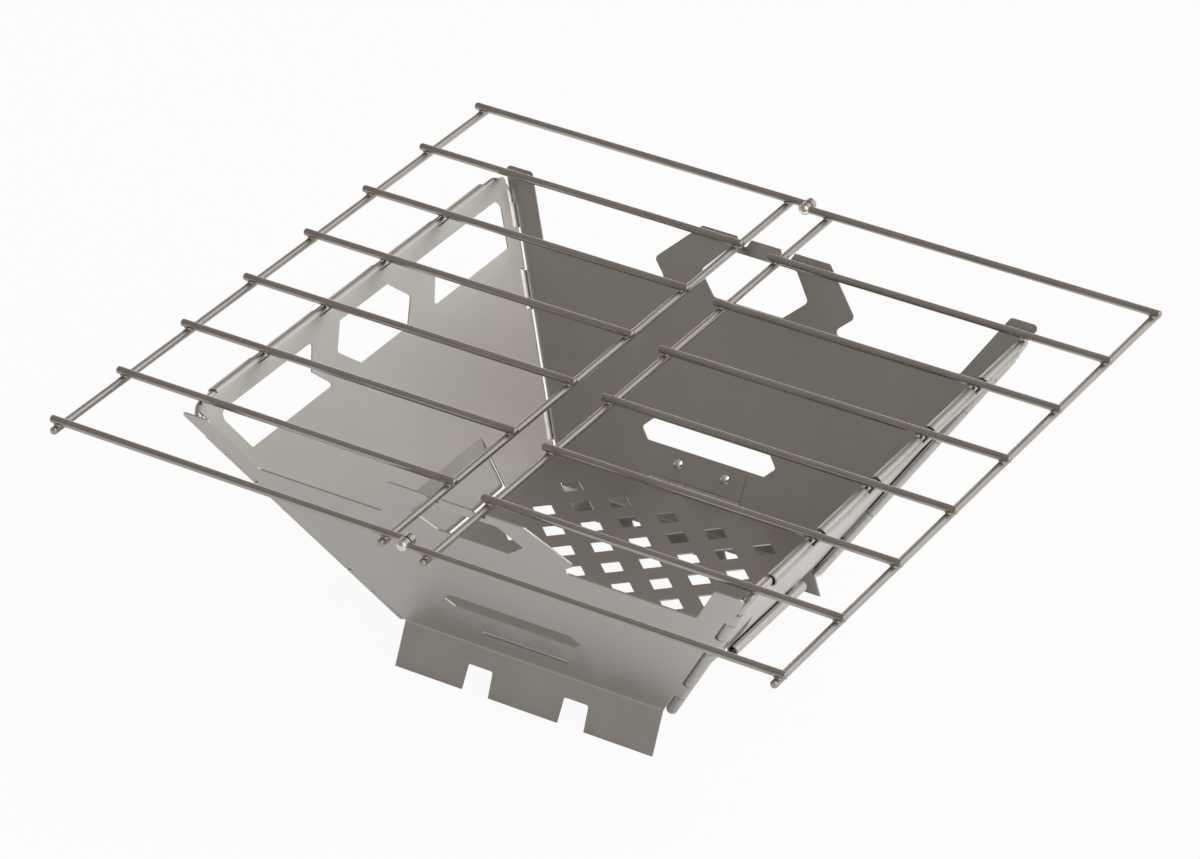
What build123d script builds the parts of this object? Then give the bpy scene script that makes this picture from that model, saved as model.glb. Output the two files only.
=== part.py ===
from build123d import *
import math
import os

# A folding fire box of stainless sheet with a two-panel wire grate on top.
# Millimetres, +Z up, origin on the ground under the middle of the box, the
# front wall on the -Y side and the side walls on the -X and +X sides.

# Stock
SHEET = 1.0  # sheet of the walls and the floor
WIRE_D = 5.0  # grate wire
ROD_D = 5.0  # bent rod that pins two corners of the box
PIN_D = 3.0  # floor hinge pin
LEAF_SHEET = 1.0  # floor hinge leaf

# Fire box: a square funnel whose walls lean outward from a fold line
FOLD_Z = 28.0  # height of the fold line, where the feet begin
FOLD_X = 94.5  # side walls' middle plane at the fold line
FOLD_Y = 96.0  # front and back walls' middle plane at the fold line
SIDE_LEAN = 31.0  # degrees from upright
END_LEAN = 29.4  # degrees from upright, front and back walls
ROD_Z = 191.7  # centre of the rod along the side walls' top edges
ROD_FOOT_Z = 27.0  # lower ends of the rod's legs
ROD_BEND_R = 10.0  # bend where the rod turns down into a corner

# Rolled edges
CORNER_BORE = 5.3  # inside of the knuckles round the corner rods
TOP_BORE = 6.2  # inside of the roll along a side wall's top edge
FOOT_ROLL_BORE = 5.6  # inside of the roll under a side wall
ROLL_OPEN = 60.0  # degrees that a roll stays open beside its sheet
TOP_ROLL_LENGTH = 314.0
FOOT_ROLL_LENGTH = 89.0
FOOT_ROLL_Z = 52.0  # height of the sheet where the lower roll starts
KNUCKLE_GAP = 0.8  # between neighbouring knuckles
CORNER_CUT_BACK = 4.1  # sheet stops this far short of the other wall's knuckles
# Heights where the knuckles of a corner change from one wall to the other,
# from the side wall's lowest one up to the end wall's highest one
KNUCKLE_HEIGHTS = (28.0, 51.4, 69.6, 119.4, 140.6, 162.4, 176.0)

# Front and back walls, sizes along the slope
END_TOP_EDGE = 148.0  # from the fold line up to the edge between horn and handle
HORN_INNER_X = 155.0  # inner edge of a horn at the top edge
HORN_RISE = 44.0  # over the top edge
HORN_CUT_BACK = 0.6
HORN_ROUND = 3.0
HANDLE_FOOT_X = 60.5
HANDLE_SIDE_X = 74.5
HANDLE_SIDE_RISE = 14.0  # of the ring's side corners over the top edge
HANDLE_TOP_X = 47.5
HANDLE_OVER_RAIL = 2.0  # height of the ring's top over the centres of the grate's rails
GRIP_FOOT_X = 25.5
GRIP_FOOT_RISE = 0.5
GRIP_SIDE_X = 40.0
GRIP_SIDE_RISE = 15.0
GRIP_TOP_X = 26.0
GRIP_BAR = 10.5  # depth of the ring over the opening
RAIL_NOTCH_WIDTH = 6.2
RAIL_NOTCH_MOUTH = 10.6
VENT_SIDE_X = 50.0
VENT_FLAT_X = 43.5
VENT_V = 53.8
VENT_HEIGHT = 14.6
FOOT_DEPTH = 12.2  # how far the feet reach outward from the fold line
FOOT_HALF_WIDTH = 94.2
FOOT_NOTCH_INNER_X = 25.2
FOOT_NOTCH_OUTER_X = 44.8
FOOT_NOTCH_HEIGHT = 15.6
CUT_ROUND = 1.6  # small corner rounds of the cut-outs

# Side walls, sizes along the slope from the fold line's level
WINDOW_STRIP = 10.9  # of sheet between the windows and the top roll
WINDOW_HEIGHT = 30.8
WINDOW_SIDE_SHARE = 0.494  # height of the windows' side corners, as a share
MID_WINDOW_TOP_Y = 28.2
MID_WINDOW_SIDE_Y = 43.3
MID_WINDOW_FOOT_Y = 27.6
WINDOW_WEB = 31.6  # between the middle window and an outer one, along Y
OUTER_WINDOW_TOP_Y = 165.4
OUTER_WINDOW_FOOT_Y = 150.8
WINDOW_CORNER_ROUND = 5.0
SIDE_FOOT_EDGE_Z = 42.0  # lower edge of a side wall
TONGUE_WIDTH = 2.4  # strip that carries the side wall's lowest knuckle
STEP_Z = 81.0  # where the pressed step in a side wall starts
STEP_END_Z = 71.5
STEP_DEPTH = 1.6
BAR_NOTCH_WIDTH = 16.0  # in the top roll, for the grate's cross bars
BAR_NOTCH_FLOOR = 0.6  # above the rod's centre

# Floor plate and its hinge
FLOOR_Z = 48.0  # middle of the plate
FLOOR_SIDE_GAP = 0.5
SIDE_TONGUE_GAP = 1.0  # beside the plate's tongue over a side wall's lower roll
FLOOR_BACK_GAP = 4.6  # from the pin to the plate beside the plate's knuckles
FLOOR_BACK_RUN = 33.6  # half the width that the plate keeps back for the leaf
HOLE_PITCH_X = 36.0
HOLE_PITCH_Y = 35.0
HOLE_SHARE = 0.5  # half of a diamond hole's diagonal, as a share of half a pitch
HOLE_RIM = 14.0  # least plain strip round the holes
AIR_SLOT_LENGTH = 63.0  # in the front wall
AIR_SLOT_HEIGHT = 4.4
AIR_SLOT_DROP = 1.2  # of its middle under the plate's
PIN_RUN = 0.1  # radial play of the pin in the knuckles
LEAF_HALF_WIDTH = 32.0
LEAF_TOP_V = 43.5
LEAF_KNUCKLE_EDGES = (6.4, 18.1)  # the plate's knuckles lie between these
LEAF_KNUCKLE_GAP = 0.4
LEAF_RIVET_X = 17.5
LEAF_RIVET_V = 37.0
LEAF_RIVET_D = 4.0
LEAF_RIVET_HEAD_D = 7.0
LEAF_RIVET_HEAD_H = 1.8
LEAF_RIVET_TAIL_H = 1.2

# Grate: each panel has two rails along Y under eight cross bars along X
BAR_PITCH = 70.0
BAR_COUNT = 8
BAR_SEAT = 0.3  # the cross bars lie this far over the corner rods
WELD_SINK = 0.35  # how far a bar sinks into a rail at its weld
OUTER_RAIL_X = 252.5
INNER_RAIL_X = 16.2
BAR_OVERHANG = 5.5  # of a bar past the rail's centre
RAIL_OVERHANG = 6.5  # of a rail past the first and last bar's centre
PANEL_OFFSET = 5.5  # along Y between the two panels' bars
WIRE_ROUND = 1.4
EYE_D = 8.0
EYE_THICKNESS = 4.4
EYE_LIFT = 0.3  # the hinge axis over the bars' centre
HINGE_RIVET_D = 3.0
HINGE_RIVET_HEAD_D = 7.2
HINGE_RIVET_HEAD_H = 2.2

# Worked out from the sizes above
SHEET_HALF = SHEET / 2
SIDE_SIN = math.sin(math.radians(SIDE_LEAN))
SIDE_COS = math.cos(math.radians(SIDE_LEAN))
END_SIN = math.sin(math.radians(END_LEAN))
END_COS = math.cos(math.radians(END_LEAN))
CORNER_OFFSET = (CORNER_BORE + SHEET) / 2  # rod's centre, outside the side walls and inside the end walls
ROD_SIDE_V = (ROD_Z - FOLD_Z + CORNER_OFFSET * SIDE_SIN) / SIDE_COS
ROD_X = FOLD_X + ROD_SIDE_V * SIDE_SIN + CORNER_OFFSET * SIDE_COS
BAR_Z = ROD_Z + (ROD_D + WIRE_D) / 2 + BAR_SEAT
RAIL_Z = BAR_Z - WIRE_D + WELD_SINK
HINGE_Z = BAR_Z + EYE_LIFT
HORN_TOP = END_TOP_EDGE + HORN_RISE
HANDLE_SIDE_V = END_TOP_EDGE + HANDLE_SIDE_RISE
HANDLE_TOP_V = (RAIL_Z + HANDLE_OVER_RAIL - FOLD_Z) / END_COS
GRIP_FOOT_V = END_TOP_EDGE + GRIP_FOOT_RISE
GRIP_SIDE_V = END_TOP_EDGE + GRIP_SIDE_RISE
GRIP_TOP_V = HANDLE_TOP_V - GRIP_BAR
WINDOW_TOP_V = ROD_SIDE_V - WINDOW_STRIP
WINDOW_FOOT_V = WINDOW_TOP_V - WINDOW_HEIGHT
WINDOW_SIDE_V = WINDOW_FOOT_V + WINDOW_HEIGHT * WINDOW_SIDE_SHARE
PIN_BORE_R = PIN_D / 2 + PIN_RUN
PIN_W = -(SHEET_HALF + LEAF_SHEET + PIN_BORE_R)  # pin centre from the back wall
PIN_Z = FLOOR_Z + SHEET_HALF + PIN_BORE_R
PIN_V = (PIN_Z - FOLD_Z + PIN_W * END_SIN) / END_COS
PIN_Y = FOLD_Y + PIN_V * END_SIN + PIN_W * END_COS

# A wall is drawn flat, x across, y up the slope and z outward, and then stood up
FRONT = Plane(origin=(0, -FOLD_Y, FOLD_Z), x_dir=(1, 0, 0), z_dir=(0, -END_COS, -END_SIN))
BACK = Plane(origin=(0, FOLD_Y, FOLD_Z), x_dir=(-1, 0, 0), z_dir=(0, END_COS, -END_SIN))
RIGHT = Plane(origin=(FOLD_X, 0, FOLD_Z), x_dir=(0, 1, 0), z_dir=(SIDE_COS, 0, -SIDE_SIN))
LEFT = Plane(origin=(-FOLD_X, 0, FOLD_Z), x_dir=(0, -1, 0), z_dir=(-SIDE_COS, 0, -SIDE_SIN))


def stand(plane, flat_part):
    """Place a part drawn flat on its wall's plane."""
    return plane.location * flat_part


def corner_axis(height):
    """Centre of the front right corner's rod at a height."""
    rise = height - FOLD_Z
    x = FOLD_X + (CORNER_OFFSET + SIDE_SIN * rise) / SIDE_COS
    y = FOLD_Y + (END_SIN * rise - CORNER_OFFSET) / END_COS
    return Vector(x, -y, height)


CORNER_WAY = (corner_axis(FOLD_Z + 100) - corner_axis(FOLD_Z)).normalized()


class CornerLine:
    """A corner's line on a flat wall, for the wall's right-hand edge."""

    def __init__(self, plane, mirrored=False):
        self.plane = plane
        way = plane.to_local_coords(plane.origin + CORNER_WAY)
        self.flip = -1 if mirrored else 1
        self.along = Vector(abs(way.X), way.Y, 0).normalized()
        self.out = Vector(self.along.Y, -self.along.X, 0)

    def at_height(self, height, inset=0.0):
        local = self.plane.to_local_coords(corner_axis(height))
        point = Vector(self.flip * local.X, local.Y, 0) - self.out * inset
        return point.X, point.Y

    def at_v(self, v, inset=0.0):
        x, y = self.at_height(FOLD_Z)
        return x + (v - y) * self.along.X / self.along.Y - inset / self.along.Y, v


FRONT_CORNER = CornerLine(FRONT)
SIDE_CORNER = CornerLine(RIGHT, mirrored=True)


def roll_section(bore):
    """A rolled edge in section: x runs on from the sheet, y is outward."""
    inner = bore / 2
    outer = inner + SHEET
    reach = 2 * outer
    start = math.radians(270 - ROLL_OPEN)
    middle = math.radians(270 - ROLL_OPEN / 2)
    mouth = Polygon(
        (0, 0),
        (reach * math.cos(start), reach * math.sin(start)),
        (reach * math.cos(middle), reach * math.sin(middle)),
        (0, -reach),
        align=None,
    )
    return Circle(outer) - Circle(inner) - mouth


def roll(bore, foot, onward, length, depth=0.0, outward=1):
    """A rolled edge on a flat wall. foot is where the sheet meets the roll."""
    centre = Vector(foot[0], foot[1], depth + outward * (bore + SHEET) / 2)
    plane = Plane(origin=centre, x_dir=onward, z_dir=onward.cross(Vector(0, 0, outward)))
    return plane.location * extrude(roll_section(bore), amount=length / 2, both=True)


def corner_knuckles(line, spans, outward):
    """The knuckles on a wall's right-hand edge, at the given spans of height."""
    knuckles = []
    for low, high in spans:
        middle = line.at_height((low + high) / 2)
        length = (corner_axis(high) - corner_axis(low)).length
        knuckles.append(roll(CORNER_BORE, middle, line.out, length, outward=outward))
    return knuckles


def knuckle_spans():
    """Spans of height of the side walls' and of the end walls' knuckles."""
    half_gap = KNUCKLE_GAP / 2 * CORNER_WAY.Z
    spans = [(a + half_gap, b - half_gap) for a, b in zip(KNUCKLE_HEIGHTS, KNUCKLE_HEIGHTS[1:])]
    return spans[0::2], spans[1::2]


SIDE_SPANS, END_SPANS = knuckle_spans()


def stepped_edge(line, spans, above):
    """Points up a wall's edge, out to the corner at its own knuckles only."""
    points = []
    for low, high in spans:
        after = above if (low, high) == spans[-1] else CORNER_CUT_BACK
        points += [
            line.at_height(low, CORNER_CUT_BACK),
            line.at_height(low),
            line.at_height(high),
            line.at_height(high, after),
        ]
    return points


def symmetric_face(right_points):
    """A face from the points of its right half, from the bottom to the top."""
    left_points = [(-x, y) for x, y in reversed(right_points)]
    return Polygon(*right_points, *left_points, align=None)


def round_corners(face, corners, radius):
    """Round the face's corners at the given points and at their mirror images."""
    wanted = [Vector(side * x, y, 0) for x, y in corners for side in (1, -1)]
    picked = [v for v in face.vertices() if any((v.center() - w).length < 0.01 for w in wanted)]
    return fillet(picked, radius)


def end_wall_outline():
    horn_outer = FRONT_CORNER.at_v(HORN_TOP, HORN_CUT_BACK)
    slant = FRONT_CORNER.along.X / FRONT_CORNER.along.Y
    horn_inner = (HORN_INNER_X + (HORN_TOP - END_TOP_EDGE) * slant, HORN_TOP)
    horn_foot = (HORN_INNER_X, END_TOP_EDGE)
    edge = stepped_edge(FRONT_CORNER, END_SPANS, HORN_CUT_BACK)
    points = [FRONT_CORNER.at_v(0, CORNER_CUT_BACK)] + edge
    points += [
        horn_outer,
        horn_inner,
        horn_foot,
        (HANDLE_FOOT_X, END_TOP_EDGE),
        (HANDLE_SIDE_X, HANDLE_SIDE_V),
        (HANDLE_TOP_X, HANDLE_TOP_V),
    ]
    face = symmetric_face(points)
    face = round_corners(face, [horn_outer, horn_inner], HORN_ROUND)
    face = round_corners(face, [horn_foot, (HANDLE_FOOT_X, END_TOP_EDGE)], HORN_ROUND)
    return round_corners(face, [(HANDLE_SIDE_X, HANDLE_SIDE_V), (HANDLE_TOP_X, HANDLE_TOP_V)], HORN_ROUND)


def grip_hole():
    corners = [(GRIP_FOOT_X, GRIP_FOOT_V), (GRIP_SIDE_X, GRIP_SIDE_V), (GRIP_TOP_X, GRIP_TOP_V)]
    return round_corners(symmetric_face(corners), corners, HORN_ROUND)


def vent_hole():
    corners = [
        (VENT_FLAT_X, VENT_V - VENT_HEIGHT / 2),
        (VENT_SIDE_X, VENT_V),
        (VENT_FLAT_X, VENT_V + VENT_HEIGHT / 2),
    ]
    return round_corners(symmetric_face(corners), corners, CUT_ROUND)


def air_slot():
    """Slot in the front wall just under the floor plate."""
    middle = (FLOOR_Z - AIR_SLOT_DROP - FOLD_Z) / END_COS
    slot = Pos(0, middle) * Rectangle(AIR_SLOT_LENGTH, AIR_SLOT_HEIGHT)
    return fillet(slot.vertices(), CUT_ROUND)


def foot_flange():
    """The three feet under an end wall, in the wall's upright -Y position."""
    length = math.hypot(FOOT_DEPTH, FOLD_Z)
    way = Vector(0, -FOOT_DEPTH, -FOLD_Z).normalized()
    normal = Vector(1, 0, 0).cross(way)
    plane = Plane(origin=(0, -FOLD_Y, FOLD_Z), x_dir=(1, 0, 0), z_dir=normal)
    spare = 2 * SHEET
    notch_low = length * (1 - FOOT_NOTCH_HEIGHT / FOLD_Z)
    blank = Pos(0, (length + spare) / 2) * Rectangle(2 * FOOT_HALF_WIDTH, length + spare)
    notch = Polygon(
        (FOOT_NOTCH_INNER_X, length + spare),
        (FOOT_NOTCH_INNER_X + CUT_ROUND / 2, notch_low),
        (FOOT_NOTCH_OUTER_X - CUT_ROUND / 2, notch_low),
        (FOOT_NOTCH_OUTER_X, length + spare),
        align=None,
    )
    corners = [v for v in notch.vertices() if abs(v.Y - notch_low) < 0.01]
    notch = fillet(corners, CUT_ROUND)
    flange = extrude(blank - notch - mirror(notch, Plane.YZ), amount=SHEET_HALF, both=True)
    below = Pos(0, -FOLD_Y, -FOLD_Z) * Box(4 * FOLD_X, 4 * FOLD_Y, 2 * FOLD_Z)
    return plane.location * flange - below


def fold_bead():
    """The bend between an end wall and its feet."""
    width = 2 * FRONT_CORNER.at_v(0, CORNER_CUT_BACK)[0]
    bead = Plane(origin=(0, -FOLD_Y, FOLD_Z), z_dir=(1, 0, 0))
    return bead.location * extrude(Circle(SHEET_HALF), amount=width / 2, both=True)


def rail_notches():
    """Cutters along Y for the grate's two inner rails."""
    floor_z = RAIL_Z - WIRE_D / 2 - BAR_SEAT
    rise = 3 * WIRE_D
    half = RAIL_NOTCH_WIDTH / 2
    spread = (RAIL_NOTCH_MOUTH - RAIL_NOTCH_WIDTH) / 2
    top_z = FOLD_Z + HANDLE_TOP_V * END_COS
    mouth = half + spread * rise / (top_z - floor_z)
    section = Polygon(
        (-half, floor_z), (half, floor_z), (mouth, floor_z + rise), (-mouth, floor_z + rise), align=None
    )
    corners = [v for v in section.vertices() if abs(v.Y - floor_z) < 0.01]
    section = fillet(corners, CUT_ROUND)
    cutter = Plane.XZ.location * extrude(section, amount=2 * FOLD_Y, both=True)
    return [Pos(side * INNER_RAIL_X, 0, 0) * cutter for side in (-1, 1)]


def end_wall(with_slot):
    """A front or back wall, standing on the -Y side."""
    face = end_wall_outline() - grip_hole() - vent_hole()
    if with_slot:
        face = face - air_slot()
    else:
        for side in (-1, 1):
            face = face - Pos(side * LEAF_RIVET_X, LEAF_RIVET_V) * Circle(LEAF_RIVET_D / 2)
    flat = extrude(face, amount=SHEET_HALF, both=True)
    for knuckle in corner_knuckles(FRONT_CORNER, END_SPANS, -1):
        flat = flat + knuckle + mirror(knuckle, Plane.YZ)
    wall = stand(FRONT, flat) + fold_bead() + foot_flange()
    for notch in rail_notches():
        wall = wall - notch
    return wall


def side_v(height):
    """Distance up a side wall's slope to a height of its middle plane."""
    return (height - FOLD_Z) / SIDE_COS


def side_wall_outline():
    foot_v = side_v(SIDE_FOOT_EDGE_Z)
    low, high = SIDE_SPANS[0]
    tongue = [
        SIDE_CORNER.at_v(foot_v, CORNER_CUT_BACK + TONGUE_WIDTH),
        SIDE_CORNER.at_height(low, TONGUE_WIDTH),
        SIDE_CORNER.at_height(low),
        SIDE_CORNER.at_height(high),
        SIDE_CORNER.at_height(high, CORNER_CUT_BACK),
    ]
    edge = stepped_edge(SIDE_CORNER, SIDE_SPANS[1:], CORNER_CUT_BACK)
    top = SIDE_CORNER.at_v(ROD_SIDE_V, CORNER_CUT_BACK)
    corners = tongue + edge + [top]
    return round_corners(symmetric_face(corners), [top], HORN_ROUND)


def outer_window():
    """The window nearest a corner, on the wall's right-hand side."""
    corners = [
        (MID_WINDOW_FOOT_Y + WINDOW_WEB, WINDOW_FOOT_V),
        (OUTER_WINDOW_FOOT_Y, WINDOW_FOOT_V),
        (OUTER_WINDOW_TOP_Y, WINDOW_TOP_V),
        (MID_WINDOW_TOP_Y + WINDOW_WEB, WINDOW_TOP_V),
        (MID_WINDOW_SIDE_Y + WINDOW_WEB * 0.93, WINDOW_SIDE_V),
    ]
    window = Polygon(*corners, align=None)
    sharp = round_corners(window, [corners[0], corners[1], corners[3]], CUT_ROUND)
    return round_corners(sharp, [corners[2]], WINDOW_CORNER_ROUND)


def middle_window():
    corners = [
        (MID_WINDOW_FOOT_Y, WINDOW_FOOT_V),
        (MID_WINDOW_SIDE_Y, WINDOW_SIDE_V),
        (MID_WINDOW_TOP_Y, WINDOW_TOP_V),
    ]
    return round_corners(symmetric_face(corners), corners, CUT_ROUND)


def pressed_step():
    """The strip under the step, pressed outward, in section and then drawn out."""
    top, end, foot = side_v(STEP_Z), side_v(STEP_END_Z), side_v(FOOT_ROLL_Z)
    section = Polygon(
        (-SHEET_HALF, top),
        (STEP_DEPTH - SHEET_HALF, end),
        (STEP_DEPTH - SHEET_HALF, foot),
        (STEP_DEPTH + SHEET_HALF, foot),
        (STEP_DEPTH + SHEET_HALF, end),
        (SHEET_HALF, top),
        align=None,
    )
    across = Plane(origin=(0, 0, 0), x_dir=(0, 0, 1), z_dir=(-1, 0, 0))
    return across.location * extrude(section, amount=FOOT_ROLL_LENGTH / 2, both=True)


def side_wall():
    """A side wall, drawn flat."""
    face = side_wall_outline() - middle_window() - outer_window() - mirror(outer_window(), Plane.YZ)
    flat = extrude(face, amount=SHEET_HALF, both=True)
    top, foot = side_v(STEP_Z), side_v(SIDE_FOOT_EDGE_Z)
    opening = Pos(0, (top + foot) / 2 - SHEET, 0) * Box(FOOT_ROLL_LENGTH, top - foot + 2 * SHEET, 4 * SHEET)
    flat = flat - opening + pressed_step()
    foot_point = (0, side_v(FOOT_ROLL_Z))
    flat = flat + roll(FOOT_ROLL_BORE, foot_point, Vector(0, -1, 0), FOOT_ROLL_LENGTH, STEP_DEPTH)
    flat = flat + roll(TOP_BORE, (0, ROD_SIDE_V), Vector(0, 1, 0), TOP_ROLL_LENGTH)
    for knuckle in corner_knuckles(SIDE_CORNER, SIDE_SPANS, 1):
        flat = flat + knuckle + mirror(knuckle, Plane.YZ)
    return flat


def bar_notches():
    """Cutters over the top rolls, for the four cross bars between the windows."""
    size = 4 * TOP_BORE
    places = [(k - (BAR_COUNT - 1) / 2) * BAR_PITCH for k in range(2, BAR_COUNT - 2)]
    return [Pos(ROD_X, y, ROD_Z + BAR_NOTCH_FLOOR + size / 2) * Box(size, BAR_NOTCH_WIDTH, size) for y in places]


def standing_side_wall(plane, side):
    wall = stand(plane, side_wall())
    for notch in bar_notches():
        cutter = notch if side > 0 else mirror(notch, Plane.YZ)
        wall = wall - cutter
    return wall


def corner_rod(side):
    """The rod in a side wall's top roll and down the two corners beside it."""
    foot = corner_axis(ROD_FOOT_Z)
    bend = corner_axis(ROD_Z)
    points = [
        (side * foot.X, foot.Y, foot.Z),
        (side * bend.X, bend.Y, bend.Z),
        (side * bend.X, -bend.Y, bend.Z),
        (side * foot.X, -foot.Y, foot.Z),
    ]
    path = FilletPolyline(*points, radius=ROD_BEND_R)
    start = Plane(origin=points[0], z_dir=path % 0)
    return sweep(start * Circle(ROD_D / 2), path=path)


def floor_blank():
    side_x = FOLD_X + (FLOOR_Z - FOLD_Z) * SIDE_SIN / SIDE_COS - SHEET_HALF / SIDE_COS - FLOOR_SIDE_GAP
    wall_y = FOLD_Y + (FLOOR_Z - SHEET_HALF - FOLD_Z) * END_SIN / END_COS
    front_y = wall_y - SHEET_HALF / END_COS - FLOOR_SIDE_GAP
    back_y = PIN_Y - FLOOR_BACK_GAP
    tongue_x = side_x + STEP_DEPTH / SIDE_COS
    tongue_y = FOOT_ROLL_LENGTH / 2 - SIDE_TONGUE_GAP
    points = [
        (side_x, -front_y),
        (side_x, -tongue_y),
        (tongue_x, -tongue_y),
        (tongue_x, tongue_y),
        (side_x, tongue_y),
        (side_x, PIN_Y),
        (FLOOR_BACK_RUN, PIN_Y),
        (FLOOR_BACK_RUN, back_y),
    ]
    for x in reversed(LEAF_KNUCKLE_EDGES):
        reach = PIN_Y if x == max(LEAF_KNUCKLE_EDGES) else back_y
        other = back_y if reach == PIN_Y else PIN_Y
        inset = -LEAF_KNUCKLE_GAP / 2 if reach == PIN_Y else LEAF_KNUCKLE_GAP / 2
        points += [(x + inset, other), (x + inset, reach)]
    return symmetric_face(points), side_x, front_y


def diamond_holes(side_x, front_y):
    """Staggered diamond holes that keep a full rim all round the plate."""
    half_x, half_y = HOLE_PITCH_X / 2, HOLE_PITCH_Y / 2
    reach_x, reach_y = half_x * HOLE_SHARE, half_y * HOLE_SHARE
    count_x = int((side_x - HOLE_RIM - reach_x) // half_x)
    count_y = int((PIN_Y - FLOOR_BACK_GAP - HOLE_RIM - reach_y) // half_y)
    diamond = Polygon((reach_x, 0), (0, reach_y), (-reach_x, 0), (0, -reach_y), align=None)
    holes = []
    for i in range(-count_x, count_x + 1):
        for j in range(-count_y, count_y + 1):
            if (i + j) % 2 == 0:
                holes.append(Pos(i * half_x, j * half_y) * diamond)
    return holes


def floor_plate():
    blank, side_x, front_y = floor_blank()
    face = blank - diamond_holes(side_x, front_y)
    plate = Pos(0, 0, FLOOR_Z) * extrude(face, amount=SHEET_HALF, both=True)
    low, high = LEAF_KNUCKLE_EDGES
    length = high - low - LEAF_KNUCKLE_GAP
    ring = Circle(PIN_BORE_R + SHEET) - Circle(PIN_BORE_R)
    for side in (-1, 1):
        place = Plane(origin=(side * (low + high) / 2, PIN_Y, PIN_Z), z_dir=(1, 0, 0))
        plate = plate + place.location * extrude(ring, amount=length / 2, both=True)
    return plate


def hinge_leaf():
    """Leaf riveted inside the back wall, with three knuckles on the pin."""
    low, high = LEAF_KNUCKLE_EDGES
    depth = -(SHEET_HALF + LEAF_SHEET / 2)
    wide = 2 * LEAF_HALF_WIDTH
    root_v = PIN_V + PIN_BORE_R + LEAF_SHEET + LEAF_KNUCKLE_GAP
    face = Pos(0, (root_v + LEAF_TOP_V) / 2) * Rectangle(wide, LEAF_TOP_V - root_v)
    spans = [(-LEAF_HALF_WIDTH, -high), (-low, low), (high, LEAF_HALF_WIDTH)]
    leaf_spans = [(a + LEAF_KNUCKLE_GAP / 2, b - LEAF_KNUCKLE_GAP / 2) for a, b in spans]
    for a, b in leaf_spans:
        face = face + Pos((a + b) / 2, (PIN_V + root_v) / 2) * Rectangle(b - a, root_v - PIN_V + SHEET_HALF / 2)
    for side in (-1, 1):
        face = face - Pos(side * LEAF_RIVET_X, LEAF_RIVET_V) * Circle(LEAF_RIVET_D / 2)
    leaf = Pos(0, 0, depth) * extrude(face, amount=LEAF_SHEET / 2, both=True)
    ring = Circle(PIN_BORE_R + LEAF_SHEET) - Circle(PIN_BORE_R)
    for a, b in leaf_spans:
        place = Plane(origin=((a + b) / 2, PIN_V, PIN_W), z_dir=(1, 0, 0))
        leaf = leaf + place.location * extrude(ring, amount=(b - a) / 2, both=True)
    bore = Plane(origin=(0, PIN_V, PIN_W), z_dir=(1, 0, 0))
    leaf = leaf - bore.location * extrude(Circle(PIN_BORE_R), amount=LEAF_HALF_WIDTH, both=True)
    return stand(BACK, leaf)


def hinge_pin():
    """Floor hinge pin with a small head at each end."""
    place = Plane(origin=(0, PIN_Y, PIN_Z), z_dir=(1, 0, 0))
    head_r = PIN_BORE_R + LEAF_SHEET / 2
    pin = extrude(Circle(PIN_D / 2), amount=LEAF_HALF_WIDTH, both=True)
    for side in (-1, 1):
        pin = pin + Pos(0, 0, side * (LEAF_HALF_WIDTH + LEAF_SHEET / 2)) * Cylinder(head_r, LEAF_SHEET)
    return place.location * pin


def dome(diameter, height):
    """A low domed head that stands on z = 0."""
    radius = (diameter * diameter / 4 + height * height) / (2 * height)
    ball = Pos(0, 0, height - radius) * Sphere(radius)
    return ball & (Pos(0, 0, height / 2) * Box(2 * diameter, 2 * diameter, height))


def leaf_rivets():
    grip = SHEET + LEAF_SHEET
    middle = -LEAF_SHEET / 2
    shank = Pos(0, 0, middle) * Cylinder(LEAF_RIVET_D / 2, grip)
    head = Pos(0, 0, middle - grip / 2) * (Rot(180, 0, 0) * dome(LEAF_RIVET_HEAD_D, LEAF_RIVET_HEAD_H))
    tail = Pos(0, 0, middle + grip / 2) * dome(LEAF_RIVET_HEAD_D, LEAF_RIVET_TAIL_H)
    rivet = shank + head + tail
    rivets = [Pos(side * LEAF_RIVET_X, LEAF_RIVET_V) * rivet for side in (-1, 1)]
    return Compound(children=[stand(BACK, r) for r in rivets])


def wire(start, end):
    """A straight wire with lightly rounded ends."""
    start, end = Vector(*start), Vector(*end)
    way = end - start
    place = Plane(origin=start, z_dir=way.normalized())
    rod = extrude(Circle(WIRE_D / 2), amount=way.length)
    ends = rod.edges().filter_by(GeomType.CIRCLE)
    return place.location * fillet(ends, WIRE_ROUND)


def bar_y(number, side):
    """Y of a cross bar. side is -1 for the left panel and 1 for the right."""
    middle = (BAR_COUNT + 1) / 2
    return (number - middle) * BAR_PITCH - side * PANEL_OFFSET / 2


def grate_rail(side, rail_x):
    first, last = bar_y(1, side), bar_y(BAR_COUNT, side)
    return wire((side * rail_x, first - RAIL_OVERHANG, RAIL_Z), (side * rail_x, last + RAIL_OVERHANG, RAIL_Z))


def grate_bar(side, number, rails):
    """A cross bar, seated on its panel's rails. The end ones carry the hinge."""
    y = bar_y(number, side)
    outer = (side * (OUTER_RAIL_X + BAR_OVERHANG), y, BAR_Z)
    if number in (1, BAR_COUNT):
        bar = wire((0, y, BAR_Z), outer)
        eye_plane = Plane(origin=(0, y, HINGE_Z), z_dir=(0, 1, 0))
        bar = bar - eye_plane.location * Cylinder(EYE_D / 2, 2 * WIRE_D)
        bar = bar + eye_plane.location * Cylinder(EYE_D / 2, EYE_THICKNESS)
        bar = bar - eye_plane.location * Cylinder(HINGE_RIVET_D / 2 + PIN_RUN, 2 * WIRE_D)
    else:
        bar = wire((side * (INNER_RAIL_X - BAR_OVERHANG), y, BAR_Z), outer)
    for rail in rails:
        bar = bar - rail
    return bar


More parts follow.
